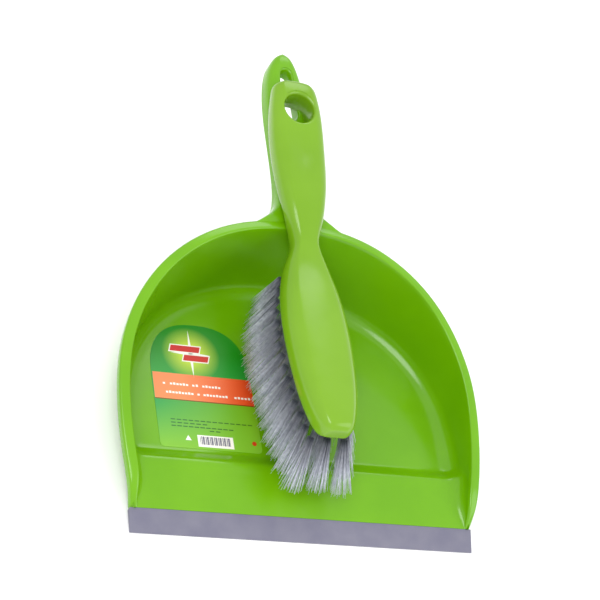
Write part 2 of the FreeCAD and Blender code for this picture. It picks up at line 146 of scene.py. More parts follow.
def makeCamera():
    back = Vector(view["back"]).normalized()
    right = Vector((0, 0, 1)).cross(back).normalized()
    up = back.cross(right)
    turn = math.radians(view["roll"])
    across = right * math.cos(turn) + up * math.sin(turn)
    upward = up * math.cos(turn) - right * math.sin(turn)
    matrix = Matrix((across, upward, back)).transposed().to_4x4()
    matrix.translation = (Vector(view["target"]) + back * view["distance"]) * mm
    bpy.ops.object.camera_add()
    camera = bpy.context.object
    camera.matrix_world = matrix
    camera.data.lens = view["lens"]
    camera.data.shift_x, camera.data.shift_y = view["shift"]
    camera.data.clip_start, camera.data.clip_end = view["clip"]
    bpy.context.scene.camera = camera


# ---- materials

def linearColour(code):
    parts = [int(code[i:i + 2], 16) / 255 for i in (1, 3, 5)]
    return [p / 12.92 if p <= 0.04045 else ((p + 0.055) / 1.055) ** 2.4 for p in parts] + [1.0]


def addNode(tree, kind, inputs=None, **settings):
    # inputs maps a socket's name or number to a value, or to another node's output
    node = tree.nodes.new(kind)
    for word, value in settings.items():
        setattr(node, word, value)
    for socket, value in (inputs or {}).items():
        if isinstance(value, bpy.types.NodeSocket):
            tree.links.new(value, node.inputs[socket])
        else:
            node.inputs[socket].default_value = value
    return node


def newMaterial(name):
    material = bpy.data.materials.new(name)
    material.use_nodes = True
    tree = material.node_tree
    shader = tree.nodes["Principled BSDF"]
    place = addNode(tree, "ShaderNodeTexCoord").outputs["Object"]
    return material, tree, shader, place


def bumpFrom(tree, shader, height, strength, distance):
    bump = addNode(tree, "ShaderNodeBump", {"Height": height, "Strength": strength, "Distance": distance})
    tree.links.new(bump.outputs["Normal"], shader.inputs["Normal"])


def mixColours(tree, share, first, second):
    mix = addNode(tree, "ShaderNodeMix", data_type="RGBA")
    tree.links.new(share, mix.inputs["Factor"])
    for socket, value in ((6, first), (7, second)):
        if isinstance(value, bpy.types.NodeSocket):
            tree.links.new(value, mix.inputs[socket])
        else:
            mix.inputs[socket].default_value = linearColour(value)
    return mix.outputs[2]


def stretch(tree, value, low, high, toLow=0.0, toHigh=1.0):
    made = addNode(tree, "ShaderNodeMapRange", {0: value, 1: low, 2: high, 3: toLow, 4: toHigh})
    return made.outputs[0]


def noiseOf(tree, place, size, detail=2.0):
    made = addNode(tree, "ShaderNodeTexNoise", {"Vector": place, "Scale": 1 / (size * mm), "Detail": detail})
    return made.outputs[0]


def makePolypropylene(name, light, deep):
    # injection moulded polypropylene: waxy gloss, faint flow clouds, a fine orange peel
    material, tree, shader, place = newMaterial(name)
    clouds = noiseOf(tree, place, 45, 3)
    shade = mixColours(tree, stretch(tree, clouds, 0.35, 0.65), light, deep)
    tree.links.new(shade, shader.inputs["Base Color"])
    scuffs = noiseOf(tree, place, 9, 4)
    tree.links.new(stretch(tree, scuffs, 0.3, 0.7, 0.14, 0.22), shader.inputs["Roughness"])
    shader.inputs["IOR"].default_value = 1.49
    peel = noiseOf(tree, place, 1.6, 1)      # 1.6 mm dimples, as the mould's polish leaves
    bumpFrom(tree, shader, peel, 0.06, 0.0004)
    return material


def makeSoftRubber():
    # thermoplastic elastomer: dull, slightly blotched grey that scatters the light
    material, tree, shader, place = newMaterial("greyElastomer")
    blotch = noiseOf(tree, place, 14, 4)
    shade = mixColours(tree, stretch(tree, blotch, 0.3, 0.7), "#68677A", "#747382")
    tree.links.new(shade, shader.inputs["Base Color"])
    shader.inputs["Roughness"].default_value = 0.58
    shader.inputs["IOR"].default_value = 1.5
    grain = noiseOf(tree, place, 0.7, 2)     # 0.7 mm spark grain
    bumpFrom(tree, shader, grain, 0.12, 0.0003)
    return material


# heights in metres at which the filaments change colour; the painted root shade's are counted down from the head
tones = {"ragged": 0.014, "tipStarts": 0.026, "tipFull": 0.015, "rootShadeStarts": 0.02, "rootShadeFull": 0.004}


def makeFilament():
    # grey crimped filament, darkened with painted shade where it leaves the head, and pale where the tips are
    # flagged
    material, tree, shader, place = newMaterial("bristleFilament")
    split = addNode(tree, "ShaderNodeSeparateXYZ", {0: place})
    strands = noiseOf(tree, place, 2.2, 1)
    low = (brushLow.z + 0.5) * mm
    ragged = addNode(tree, "ShaderNodeMath", {0: strands, 1: tones["ragged"]}, operation="MULTIPLY")
    height = addNode(tree, "ShaderNodeMath", {0: split.outputs["Z"], 1: ragged.outputs[0]}, operation="ADD")
    tip = stretch(tree, height.outputs[0], tones["tipStarts"], tones["tipFull"])
    # painted shade: the filaments darken towards #3C3F4A close under the head
    root = stretch(tree, split.outputs["Z"], low - tones["rootShadeStarts"], low - tones["rootShadeFull"])
    shade = mixColours(tree, stretch(tree, strands, 0.38, 0.62), "#B6BAC9", "#DADDE8")
    shade = mixColours(tree, root, shade, "#3C3F4A")
    tree.links.new(mixColours(tree, tip, shade, "#FFFFFF"), shader.inputs["Base Color"])
    shader.inputs["Roughness"].default_value = 0.32
    shader.inputs["IOR"].default_value = 1.5
    return material


def makeAnchorWire():
    # drawn steel wire: bright metal, a little uneven from the die
    material, tree, shader, place = newMaterial("steelWire")
    shader.inputs["Base Color"].default_value = linearColour("#B9BBBD")
    shader.inputs["Metallic"].default_value = 1.0
    drawn = noiseOf(tree, place, 0.4, 2)     # 0.4 mm marks
    tree.links.new(stretch(tree, drawn, 0.3, 0.7, 0.25, 0.4), shader.inputs["Roughness"])
    return material


film = {
    "upper": 46,                 # from the label's low edge to where the upper green starts
    "foot": 0.03,                # metres over which the low green fades
    "rise": 0.022,               # metres over which the upper green deepens
    "heart": (0.42, 44.0),       # the sparkle's share of the width, and its y
    "glow": (0.019, 0.004),      # distances in metres at which the glow starts and is full
}


def makeLabelFilm():
    # printed film: greens that fade across and down, under a satin varnish
    material, tree, shader, place = newMaterial("labelFilm")
    split = addNode(tree, "ShaderNodeSeparateXYZ", {0: place})
    left, right = labelLow.x * mm, labelHigh.x * mm
    middle = (labelLow.y + film["upper"]) * mm
    across = stretch(tree, split.outputs["X"], left, right)
    lower = mixColours(tree, across, "#2E9A48", "#7DB414")
    foot = stretch(tree, split.outputs["Y"], labelLow.y * mm + film["foot"], labelLow.y * mm)
    lower = mixColours(tree, foot, lower, "#7DB82C")
    rise = stretch(tree, split.outputs["Y"], middle, middle + film["rise"])
    upper = mixColours(tree, rise, "#2E9A3C", "#138506")
    isUpper = addNode(tree, "ShaderNodeMath", {0: split.outputs["Y"], 1: middle}, operation="GREATER_THAN")
    share, y = film["heart"]
    heart = Vector((labelLow.x + share * (labelHigh.x - labelLow.x), y, labelHigh.z)) * mm
    away = addNode(tree, "ShaderNodeVectorMath", {0: place, 1: heart}, operation="DISTANCE").outputs["Value"]
    upper = mixColours(tree, stretch(tree, away, *film["glow"]), upper, "#C9DC3C")
    tree.links.new(mixColours(tree, isUpper.outputs[0], lower, upper), shader.inputs["Base Color"])
    shader.inputs["Roughness"].default_value = 0.3
    shader.inputs["IOR"].default_value = 1.5
    ripple = noiseOf(tree, place, 12, 1)     # the film lies a little unevenly on its glue
    bumpFrom(tree, shader, ripple, 0.05, 0.0005)
    return material


def makeInk(name, first, second):
    # screen ink on the film, with a run of colour across the label
    material, tree, shader, place = newMaterial(name)
    split = addNode(tree, "ShaderNodeSeparateXYZ", {0: place})
    across = stretch(tree, split.outputs["X"], labelLow.x * mm + 0.02, labelHigh.x * mm)
    tree.links.new(mixColours(tree, across, first, second), shader.inputs["Base Color"])
    shader.inputs["Roughness"].default_value = 0.35
    return material


panPlastic = makePolypropylene("panPolypropylene", "#6AA602", "#639F00")
# painted sheen: the brush's copy of the plastic is lighter and greyer than the pan's
brushPlasticWithSheen = makePolypropylene("brushPolypropyleneWithSheen", "#74A21C", "#6E9C14")
softRubber = makeSoftRubber()
filament = makeFilament()
labelFilm = makeLabelFilm()
inks = {
    "band": makeInk("orangeInk", "#F08A55", "#E8420C"),
    "white": makeInk("whiteInk", "#F4F3EE", "#F1E9D9"),
    "dark": makeInk("darkInk", "#2D6A30", "#3C6410"),
    "shadow": makeInk("brownInk", "#6E5A20", "#8A2A05"),
    "red": makeInk("redInk", "#C8201E", "#C83A10"),
    "bars": makeInk("barInk", "#5B5870", "#5B5870"),
}
print("materials made")


def finishPiece(obj, name, body, material, nodes, degrees=40):
    obj.name = name
    obj.data.materials.clear()
    obj.data.materials.append(material)
    shadeSmooth(obj, degrees)
    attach(obj, body)
    if nodes:
        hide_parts(*nodes)


# ---- the pan's bowl: one skin from the floor over the rim to its rolled edge, then thickened

bowl = {
    "half": panHigh.x,
    "back": 111.5,
    "mouth": -lipHigh.y,                 # origin to the mouth
    "mouthHalf": 110.3,
    "power": 2.15,                       # how square the back is
    "rim": [(-65, 5.2), (-56, 14.4), (-45, 19), (-25, 23.8), (0, 29.6), (51, 41.9), (111.5, 60.3)],
    "rimWidth": 6.6,
    "mouthRimWidth": 3.6,
    "floor": 2.4,
    "ramp": [(-65, 5.2), (-38.4, 7.75), (-37.4, 8.2), (-33, 8.5), (-31.6, 7.9), (-24.6, 2.6), (-23, 2.4)],
    "foot": 10.0,                        # radius from floor to wall
    "draft": math.tan(math.radians(8)),
    "skirt": 6.0,
    "thick": 2.38,
    "sideRows": [-65, -62, -58, -54, -49, -44, -40, -38.6, -37.9, -37.1, -35.5, -34, -33, -32.2, -31,
                 -29, -27, -25.4, -24.4, -23.2, -21.5, -18, -13, -7, 0],
    "turns": [5, 10, 15, 21, 27, 33, 39, 45, 51, 57, 63, 68, 73, 77, 81, 84.5, 87.5, 90],
    "footSteps": 6,
    "floorShares": [0.96, 0.88, 0.76, 0.6, 0.4, 0.2, 0.0],
    "spineFront": -12,                   # behind this the floor's rows draw together
    "spineShare": 0.3,
}


def rimHeight(y):
    return softLine(bowl["rim"], y, 2.5 if y < -40 else 9.0) if y > -63 else alongLine(bowl["rim"], y)


def floorHeight(y):
    return softLine(bowl["ramp"], y, 1.3) if y > -62 else alongLine(bowl["ramp"], y)


def rimEdge(y=None, turn=None):
    # a point of the rim's outer edge and the level direction that faces out there
    half, back, front = bowl["half"], bowl["back"], bowl["mouth"]
    if turn is None:
        x = half - (half - bowl["mouthHalf"]) * (y / front) ** 2
        return Vector((x, y)), Vector((1, 0))
    power = 2 / bowl["power"]
    angle = math.radians(turn)
    x, y = half * math.cos(angle) ** power, back * math.sin(angle) ** power
    steep = bowl["power"] - 1
    facing = Vector((abs(x / half) ** steep / half, abs(y / back) ** steep / back))
    return Vector((max(x, 0), y)), facing.normalized()


def bowlRow(edge, facing):
    rimTop = rimHeight(edge.y)
    low = floorHeight(edge.y)
    opening = smoothStep(-65, -45, edge.y)
    width = bowl["mouthRimWidth"] + (bowl["rimWidth"] - bowl["mouthRimWidth"]) * opening
    tall = max(rimTop - low, 0.15)
    roll = min(1.0, tall / 3)                # everything softens out where wall and floor meet
    dip = min(1.1, tall * 0.3)
    skirt = min(bowl["skirt"], rimTop - 0.6)
    # (inward, up): up the rolled edge, over the rim and into the bowl
    profile = [(0.25, -skirt), (0.1, -skirt * 0.6), (0.0, -1.9), (0.3, -1.1), (0.95, -0.62)]
    profile += [(1.7, -0.42), (width * 0.6, -0.1), (width - 0.9, 0.0)]
    profile += [(width - 0.15, -0.3 * roll), (width + 0.2, -dip)]
    radius = min(bowl["foot"], tall * 0.7)
    footCentre = width + (tall - radius) * bowl["draft"] + radius
    wallFoot = tall - radius
    for share in (0.3, 0.6, 0.88):
        drop = dip + max(wallFoot - dip, 0) * share
        profile.append((width + 0.2 + drop * bowl["draft"], -drop))
    for step in range(1, bowl["footSteps"] + 1):
        angle = math.pi / 2 * step / bowl["footSteps"]
        profile.append((footCentre - radius * math.cos(angle), -tall + radius - radius * math.sin(angle)))
    points = []
    for inward, drop in profile:
        place = edge - facing * inward
        points.append((place.x, place.y, rimTop + drop))
    footEnd = points[-1]
    front = bowl["spineFront"]
    spineY = footEnd[1] if footEnd[1] < front else front + (footEnd[1] - front) * bowl["spineShare"]
    for share in bowl["floorShares"]:
        x, y = footEnd[0] * share, spineY + (footEnd[1] - spineY) * share
        points.append((x, y, floorHeight(y)))
    return [(max(x, 0.0), y, z) for x, y, z in points]


def makeBowl():
    rows = [bowlRow(*rimEdge(y=y)) for y in bowl["sideRows"]]
    rows += [bowlRow(*rimEdge(turn=turn)) for turn in bowl["turns"]]
    obj = gridFrom("panBowl", rows)
    applyModifier(obj, "MIRROR", use_clip=True, merge_threshold=0.0001)
    outwardNormals(obj)
    faceUp(obj)
    applyModifier(obj, "SUBSURF", levels=1, render_levels=1)
    applyModifier(obj, "SOLIDIFY", thickness=bowl["thick"] * mm, offset=-1, use_even_offset=False)
    return obj


# ---- ribs under the ramp

ribs = {"pitch": 30.0, "count": 3, "thick": 1.6, "front": -63.0, "back": -26.5, "low": 0.6,
        "frontLift": 2.2, "sink": 0.8, "round": 0.3}


def makeRibs():
    made = []
    for number in range(-ribs["count"], ribs["count"] + 1):
        bpy.ops.mesh.primitive_cube_add(size=1)
        rib = bpy.context.object
        for vertex in rib.data.vertices:
            x = number * ribs["pitch"] + math.copysign(ribs["thick"] / 2, vertex.co.x)
            y = ribs["front"] if vertex.co.y < 0 else ribs["back"]
            top = floorHeight(y) - ribs["sink"]
            low = ribs["low"] + (ribs["frontLift"] if vertex.co.y < 0 else 0)
            z = top if vertex.co.z > 0 else min(low, top - 0.5)
            vertex.co = Vector((x, y, z)) * mm
        applyModifier(rib, "BEVEL", width=ribs["round"] * mm, segments=2)
        made.append(rib)
    return made


# ---- the pan's handle: an open-bottomed channel with a tapered hanging slot

rimBack = (bowl["back"], 60.3)
grip = {
    "rise": 20.2 / 119.5,
    "halves": [(100, 42), (104, 37), (108, 30), (112, 23.5), (116, 18.6), (121, 14.8), (127, 12.4), (134, 11.4),
               (145, 11.2), (165, 12.2), (185, 13.4), (200, 13.4), (212, 12.2), (220, 10.3), (225, 8.3),
               (228.5, 5.8), (230.4, 3), (231, 0)],
    "tall": 11.5,
    "crown": 0.8,
    "sink": 0.35,                        # how far its top lies under the rim's line
    "round": 5.5,
    "thick": 2.0,
    "rows": [106.6, 108, 110, 112, 115, 118, 122, 127, 134, 142, 150, 158, 166, 174, 182, 190, 198, 205,
             211, 216, 220, 223.5, 226.5, 228.6, 230, 230.8, 231],
}
slot = {"start": 181.5, "end": 218.5, "half": 6.2, "tipHalf": 3.5, "deep": 9.0, "wall": 2.0, "lip": 1.2}


def gripTop(y):
    top = rimBack[1] + (y - rimBack[0]) * grip["rise"]
    if y < rimBack[0]:
        top = rimHeight(y)
    return top - grip["sink"] - 2.6 * smoothStep(224, 232, y) ** 2


def gripRow(y):
    half = softLine(grip["halves"], y, 1.5) if y < 228 else alongLine(grip["halves"], y)
    half = max(half, 0.004)
    top = gripTop(y)
    flat = smoothStep(127, 104, y)           # the root is as flat as the rim it leaves
    corner = min(grip["round"] * (1 - 0.75 * flat), half * 0.7)
    tall = min(grip["tall"] * (1 - 0.45 * flat), half * 1.5 + 5)
    crown = grip["crown"] * (1 - flat) * min(half / 10, 1)
    flatHalf = half - corner
    points = [(flatHalf * s, y, top - crown * (flatHalf * s / half) ** 2) for s in (0.0, 0.35, 0.7, 1.0)]
    for turn in (22.5, 45, 67.5, 90):
        angle = math.radians(turn)
        x = flatHalf + corner * math.sin(angle)
        points.append((x, y, top - crown * (x / half) ** 2 - corner * (1 - math.cos(angle))))
    side, low = points[-1][2], top - tall
    for share in (0.3, 0.65, 0.94, 1.0):
        points.append((half + 0.35 * share * min(half / 8, 1), y, side + (low - side) * share))
    return points


def combine(obj, other, how):
    applyModifier(obj, "BOOLEAN", operation=how, object=other, solver="EXACT")
    bpy.data.objects.remove(other)


def slotOutline(grow):
    # the slot's outline, anticlockwise, grown outwards all round
    wide, narrow = slot["half"] + grow, slot["tipHalf"] + grow
    nearMiddle, farMiddle = slot["start"] + slot["half"], slot["end"] - slot["tipHalf"]
    nearTurns = [math.radians(t) for t in range(180, 361, 15)]
    farTurns = [math.radians(t) for t in range(0, 181, 15)]
    around = [(wide * math.cos(t), nearMiddle + wide * math.sin(t)) for t in nearTurns]
    return around + [(narrow * math.cos(t), farMiddle + narrow * math.sin(t)) for t in farTurns]


def slotBlock(name, levels):
    # a closed block standing in the slot: one ring of the outline for each (grow, height over the handle)
    rings = []
    for grow, height in levels:
        ring = []
        for x, y in slotOutline(grow):
            top = rimBack[1] + (y - rimBack[0]) * grip["rise"] - grip["sink"]
            ring.append((x, y, top + height))
        rings.append(ring + [ring[0]])
    obj = gridFrom(name, rings)
    fillHoles(obj)
    return obj


def fillHoles(obj):
    selectOnly(obj)
    bpy.ops.object.mode_set(mode="EDIT")
    bpy.ops.mesh.select_all(action="SELECT")
    bpy.ops.mesh.remove_doubles(threshold=0.00002)
    bpy.ops.mesh.fill_holes(sides=0)
    bpy.ops.mesh.normals_make_consistent(inside=False)
    bpy.ops.object.mode_set(mode="OBJECT")


def flareRings(size, inner, start, turns):
    # rings that open out in a quarter round: (distance out, height)
    angles = [math.radians(t) for t in turns]
    return [(inner + size * (1 - math.cos(t)), start + size * math.sin(t)) for t in angles]


def makeGrip():
    obj = gridFrom("panGrip", [gripRow(y) for y in grip["rows"]])
    applyModifier(obj, "MIRROR", use_clip=True, merge_threshold=0.00005)
    outwardNormals(obj)
    faceUp(obj)
    applyModifier(obj, "SUBSURF", levels=1, render_levels=1)
    applyModifier(obj, "SOLIDIFY", thickness=grip["thick"] * mm, offset=-1, use_even_offset=False)
    combine(obj, slotBlock("slotWall", [(slot["wall"], -slot["deep"]), (slot["wall"], -1.4)]), "UNION")
    flare = slot["lip"]
    cut = [(0, -slot["deep"] - 2), (0, -flare - 0.4)] + flareRings(flare, 0, -flare - 0.4, (30, 60, 90))
    combine(obj, slotBlock("slotCut", cut + [(flare, 3)]), "DIFFERENCE")
    return obj


# ---- the lip: a soft wedge moulded over the pan's front edge

lip = {
    "half": lipHigh.x, "tip": lipLow.y, "back": lipHigh.y,
    "edge": 0.7, "high": lipHigh.z, "low": 1.4, "round": 0.35,
}


def makeLip():
    bpy.ops.mesh.primitive_cube_add(size=1)
    obj = bpy.context.object
    for vertex in obj.data.vertices:
        atBack = vertex.co.y > 0
        top = lip["high"] if atBack else lip["edge"]
        low = lip["low"] if atBack else 0.0
        vertex.co = Vector((
            math.copysign(lip["half"], vertex.co.x),
            lip["back"] if atBack else lip["tip"],
            top if vertex.co.z > 0 else low,
        )) * mm
    applyModifier(obj, "BEVEL", width=lip["round"] * mm, segments=3)
    selectOnly(obj)
    bpy.ops.object.mode_set(mode="EDIT")
    bpy.ops.mesh.select_all(action="SELECT")
    bpy.ops.mesh.normals_make_consistent(inside=False)
    bpy.ops.object.mode_set(mode="OBJECT")
    return obj


# ---- the label and what is printed on it

label = {
    "left": labelLow.x, "right": labelHigh.x, "low": labelLow.y, "top": labelHigh.y,
    "straight": 28.0, "thick": labelHigh.z - labelLow.z, "ink": 0.03, "corner": 2.5,
    "bandLow": 11.0, "bandHigh": 29.0, "power": 2 / 2.5,
    "textRows": [(21.6, (0.1, 0.15, 0.17, 0.36, 0.39, 0.46, 0.49, 0.68)),
                 (15.6, (0.12, 0.4, 0.43, 0.46, 0.49, 0.74, 0.8, 0.97))],
    "smallRows": [(-3.0, 0.13, 0.95), (-5.2, 0.13, 0.5), (-7.4, 0.13, 0.75), (-9.4, 0.5, 0.62)],
    "barcode": (0.37, 0.72, -20.5, -12.6),
    "barCount": 22,
    "triangle": (0.28, -15.5, 2.2),
    "dot": (0.93, -15.5, 1.5),
    "mark": film["heart"],
    "star": (13.0, 17.0, 1.3),           # the sparkle's reach across and up, and half its middle's width
    "markBars": [(-3.5, 3.3, 19.0), (3.0, -3.0, 16.0)],
    "slant": 0.3,
    "markHalf": 2.1, "markBorder": 0.7,  # half a mark bar's height, and the white round it
    "inset": 0.4, "shadow": 0.7,         # from the label's edge to the band, and the line under the band
    "bandTaper": 0.3,
    "textPitch": 0.03, "letter": (1.45, -0.75, 0.55, 0.3),     # width, foot, head, how far some stand up
    "smallPitch": 0.055, "small": (2.9, 0.35),
    "barMargin": 1.5, "barFoot": 1.6, "barHead": 0.8,
    "inkRoot": 0.05,                     # how deep a block of ink is set in the film
}


def labelX(share):
    return label["left"] + share * (label["right"] - label["left"])


def edgeAt(y):
    # half the label's width at y
    half = (label["right"] - label["left"]) / 2
    if y <= label["straight"]:
        return half
    rise = (y - label["straight"]) / (label["top"] - label["straight"])
    return half * max(1 - rise ** (2 / label["power"]), 0) ** (label["power"] / 2)


def makeLabel():
    middle = (label["left"] + label["right"]) / 2
    span = label["top"] - label["straight"]
    rowsAt = [label["low"], label["low"] + 0.8, label["low"] + 2.5, 0, label["straight"]]
    arch = [math.sin(math.radians(t)) ** 0.9 for t in range(10, 90, 8)]
    rowsAt += [label["straight"] + span * rise for rise in arch] + [label["top"]]
    rows = []
    for y in rowsAt:
        corner = max(label["low"] + label["corner"] - y, 0)
        half = edgeAt(y) - (label["corner"] - math.sqrt(max(label["corner"] ** 2 - corner ** 2, 0)))
        rows.append([(middle + half * s, y, labelLow.z) for s in (-1, -0.6, -0.2, 0.2, 0.6, 1)])
    obj = gridFrom("labelSheet", rows)
    outwardNormals(obj)
    applyModifier(obj, "SOLIDIFY", thickness=label["thick"] * mm, offset=0)
    low = min(vertex.co.z for vertex in obj.data.vertices)
    for vertex in obj.data.vertices:
        vertex.co.z += labelLow.z * mm + 0.00001 - low
    return obj


def inkBlock(left, right, low, high, level=1):
    bpy.ops.mesh.primitive_cube_add(size=1)
    obj = bpy.context.object
    root = label["inkRoot"]
    middle = labelHigh.z - root + root + level * label["ink"] / 2
    obj.location = Vector(((left + right) / 2, (low + high) / 2, middle)) * mm
    obj.scale = Vector((right - left, high - low, root + level * label["ink"])) * mm
    placeInMesh(obj)
    return obj


def inkDisc(x, y, radius, corners):
    bpy.ops.mesh.primitive_cylinder_add(vertices=corners, radius=1, depth=1)
    obj = bpy.context.object
    obj.location = Vector((x, y, labelHigh.z + label["ink"] / 2)) * mm
    obj.scale = Vector((radius, radius, label["inkRoot"] + label["ink"])) * mm
    placeInMesh(obj)
    return obj


def makePrint():
    low, high = label["bandLow"], label["bandHigh"]
    printed = {"band": [], "white": [], "dark": [], "shadow": [], "red": [], "bars": []}
    edge = label["inset"]
    middle = (label["left"] + label["right"]) / 2 * mm
    printed["band"].append(inkBlock(label["left"] + edge, label["right"] - edge, low, high))
    for vertex in printed["band"][0].data.vertices:      # the band narrows a little towards its top
        if vertex.co.y > (low + high) / 2 * mm:
            vertex.co.x += math.copysign(label["bandTaper"] * mm, middle - vertex.co.x)
    printed["shadow"].append(inkBlock(label["left"] + edge, label["right"] - edge, low - label["shadow"], low))
    wide, foot, head, rise = label["letter"]
    for y, ends in label["textRows"]:
        for start, stop in zip(ends[::2], ends[1::2]):
            count = max(int((stop - start) / label["textPitch"]), 1)
            for number in range(count):
                x = labelX(start + (stop - start) * number / count)
                top = y + head + rise * (number % 3 == 1)
                printed["white"].append(inkBlock(x, x + wide, y + foot, top, 2))
    wide, half = label["small"]
    for y, start, stop in label["smallRows"]:
        count = int((stop - start) / label["smallPitch"])
        for number in range(count):
            x = labelX(start + (stop - start) * number / count)
            printed["dark"].append(inkBlock(x, x + wide, y - half, y + half))
    start, stop, barLow, barHigh = label["barcode"]
    left, right = labelX(start), labelX(stop)
    printed["white"].append(inkBlock(left, right, barLow, barHigh))
    step = (right - left - 2 * label["barMargin"]) / label["barCount"]
    for number in range(label["barCount"]):
        x = left + label["barMargin"] + number * step
        wide = step * (0.35 + 0.25 * ((number * 7) % 3))
        printed["bars"].append(inkBlock(x, x + wide, barLow + label["barFoot"], barHigh - label["barHead"], 2))
    share, y, radius = label["triangle"]
    printed["white"].append(inkDisc(labelX(share), y, radius, 3))
    share, y, radius = label["dot"]
    printed["red"].append(inkDisc(labelX(share), y, radius, 24))
    share, y = label["mark"]
    across, tall, thin = label["star"]
    for reachX, reachY in ((across, thin), (thin, tall)):
        ray = inkDisc(labelX(share), y, 1.0, 4)
        for vertex in ray.data.vertices:
            vertex.co.x = (labelX(share) + (vertex.co.x / mm - labelX(share)) * reachX) * mm
            vertex.co.y = (y + (vertex.co.y / mm - y) * reachY) * mm
        printed["white"].append(ray)
    for shiftX, shiftY, wide in label["markBars"]:
        for ink, grow, level in (("white", label["markBorder"], 2), ("red", 0.0, 3)):
            x, at = labelX(share) + shiftX, y + shiftY
            half = label["markHalf"]
            bar = inkBlock(x - wide / 2 - grow, x + wide / 2 + grow, at - half - grow, at + half + grow, level)
            for vertex in bar.data.vertices:
                vertex.co.x += (vertex.co.y - at * mm) * label["slant"]
            printed[ink].append(bar)
    return printed


# ---- the brush's moulding: head, neck and a handle that is hollow from below

brush = {
    # y, half width, middle height, how far it goes over and under the middle
    "stations": [
        (-40.3, 7.13, 54.3, 6.8, 1.7), (-37.65, 10.58, 53.28, 11.52, 2.88),
        (-27.04, 14.61, 52.92, 13.28, 3.32),
        (-4.5, 18.99, 53, 13.6, 3.4), (29.98, 21.1, 53, 13.6, 3.4), (56.5, 19.41, 52.96, 13.44, 3.36),
        (76.39, 14.77, 53.36, 12.64, 3.16), (92.3, 8.9, 58.6, 9.4, 4.5), (106.5, 11.84, 64, 8.7, 4.4),
        (114.5, 13.55, 66.4, 8.7, 4.3), (131.5, 16.19, 69.8, 8.7, 6.9), (155.5, 17.6, 73.4, 8.7, 8.66),
        (178.5, 17.07, 78.2, 8.7, 9.57), (193.5, 15.2, 80.6, 8.7, 6.14), (198.6, 13.7, 80.3, 8.7, 3.8),
        (200.3, 11, 79.2, 8.7, 2.2),
    ],
    "over": 2.5, "under": 5.0,               # powers of the squared ellipses
    "crease": 0.62, "flatness": 0.5,         # where the paler top face ends and how flat it is
    "shares": [0.0, 0.16, 0.32, 0.46, 0.56, 0.605, 0.635, 0.68, 0.76, 0.85, 0.92, 0.965, 0.99, 1.0],
    "lowTurns": [22, 45, 62, 76, 86],
    "rows": [-40.3, -40.1, -39.6, -38.6, -37, -34.5, -31, -26, -20, -12, -4, 5, 14, 23, 32, 41, 50, 58,
             65, 71, 76.5, 81, 85, 88.5, 91.5, 94.5, 98, 102, 106, 110, 114.5, 119, 124.5, 129, 134, 139,
             144, 148, 152, 156, 160, 164, 168, 172, 176, 180, 184, 188, 191.5, 194.5, 196.8, 198.3,
             199.4, 200, 200.3],
    "wall": 2.2, "roomStart": 121.5, "roomEnd": 195.5,
    "drawBack": 2.6,                         # the nose is rounder and shorter than the CAD's flat end
    "dish": (152.0, 17.0, 6.5, 0.9),         # where, how long, how wide and how deep the thumb rest is
}
hole = {
    "y": 180.6, "top": 84.0, "radius": 10.0, "tilt": math.radians(9.6),
    "wall": 2.2, "lip": 2.0, "foot": -15.5, "lipTop": 2.2, "steps": 64,
}


def curveThrough(points, value):
    # a smooth curve through the points, with each slope taken from its neighbours
    at = [p[0] for p in points]
    i = min(max(int(np.searchsorted(at, value)) - 1, 0), len(at) - 2)
    slopes = []
    for k in (i, i + 1):
        low, high = max(k - 1, 0), min(k + 1, len(at) - 1)
        slopes.append((points[high][1] - points[low][1]) / (at[high] - at[low]))
    step = at[i + 1] - at[i]
    t = (value - at[i]) / step
    first, second = points[i][1], points[i + 1][1]
    return ((2 * t ** 3 - 3 * t ** 2 + 1) * first + (t ** 3 - 2 * t ** 2 + t) * step * slopes[0]
            + (3 * t ** 2 - 2 * t ** 3) * second + (t ** 3 - t ** 2) * step * slopes[1])


def brushAt(y):
    return [curveThrough([(s[0], s[k]) for s in brush["stations"]], y) for k in (1, 2, 3, 4)]


def thumbRest(x, y):
    where, long, wide, deep = brush["dish"]
    along = smoothStep(where - long, where - 2, y) * smoothStep(where + long * 1.1, where + 6, y)
    width = wide * (0.45 + 0.55 * smoothStep(where - long, where + 8, y))
    return deep * along * math.exp(-(x / width) ** 2)


def brushRow(y):
    half, middle, up, down = brushAt(y)
    y += brush["drawBack"] * smoothStep(-12, -40.3, y)
    crease = brush["crease"]
    rim = (1 - crease ** brush["over"]) ** (1 / brush["over"])
    points = []
    for share in brush["shares"]:
        rise = max(1 - share ** brush["over"], 0) ** (1 / brush["over"])
        if share < crease:
            rise = rim + (rise - rim) * brush["flatness"]
        x = share * half
        points.append((x, y, middle + up * rise - thumbRest(x, y)))
    for turn in brush["lowTurns"]:
        angle = math.radians(turn)
        power = 2 / brush["under"]
        points.append((half * math.cos(angle) ** power, y, middle - down * math.sin(angle) ** power))
    points.append((0.0, y, middle - down))
    return points


def roomRow(y):
    # the hollow's own section, a wall's thickness inside the handle and open below
    half, middle, up, down = brushAt(y)
    ends = smoothStep(brush["roomStart"] - 1, brush["roomStart"] + 3, y) * smoothStep(
        brush["roomEnd"] + 1, brush["roomEnd"] - 3, y)
    inner = (half - brush["wall"]) * (0.7 + 0.3 * ends)
    top = middle + (up - brush["wall"] - 0.4) * (0.6 + 0.4 * ends)
    low = middle - down - 2
    points = [(0.0, y, top), (inner * 0.45, y, top), (inner * 0.78, y, top - 1.0), (inner * 0.95, y, top - 3.2)]
    return points + [(inner, y, middle), (inner, y, low), (inner * 0.5, y, low), (0.0, y, low)]


def halfLoft(name, rows):
    # a closed body from half sections that start and end on the middle plane
    obj = gridFrom(name, rows)
    applyModifier(obj, "MIRROR", use_clip=True, merge_threshold=0.00005)
    fillHoles(obj)
    return obj


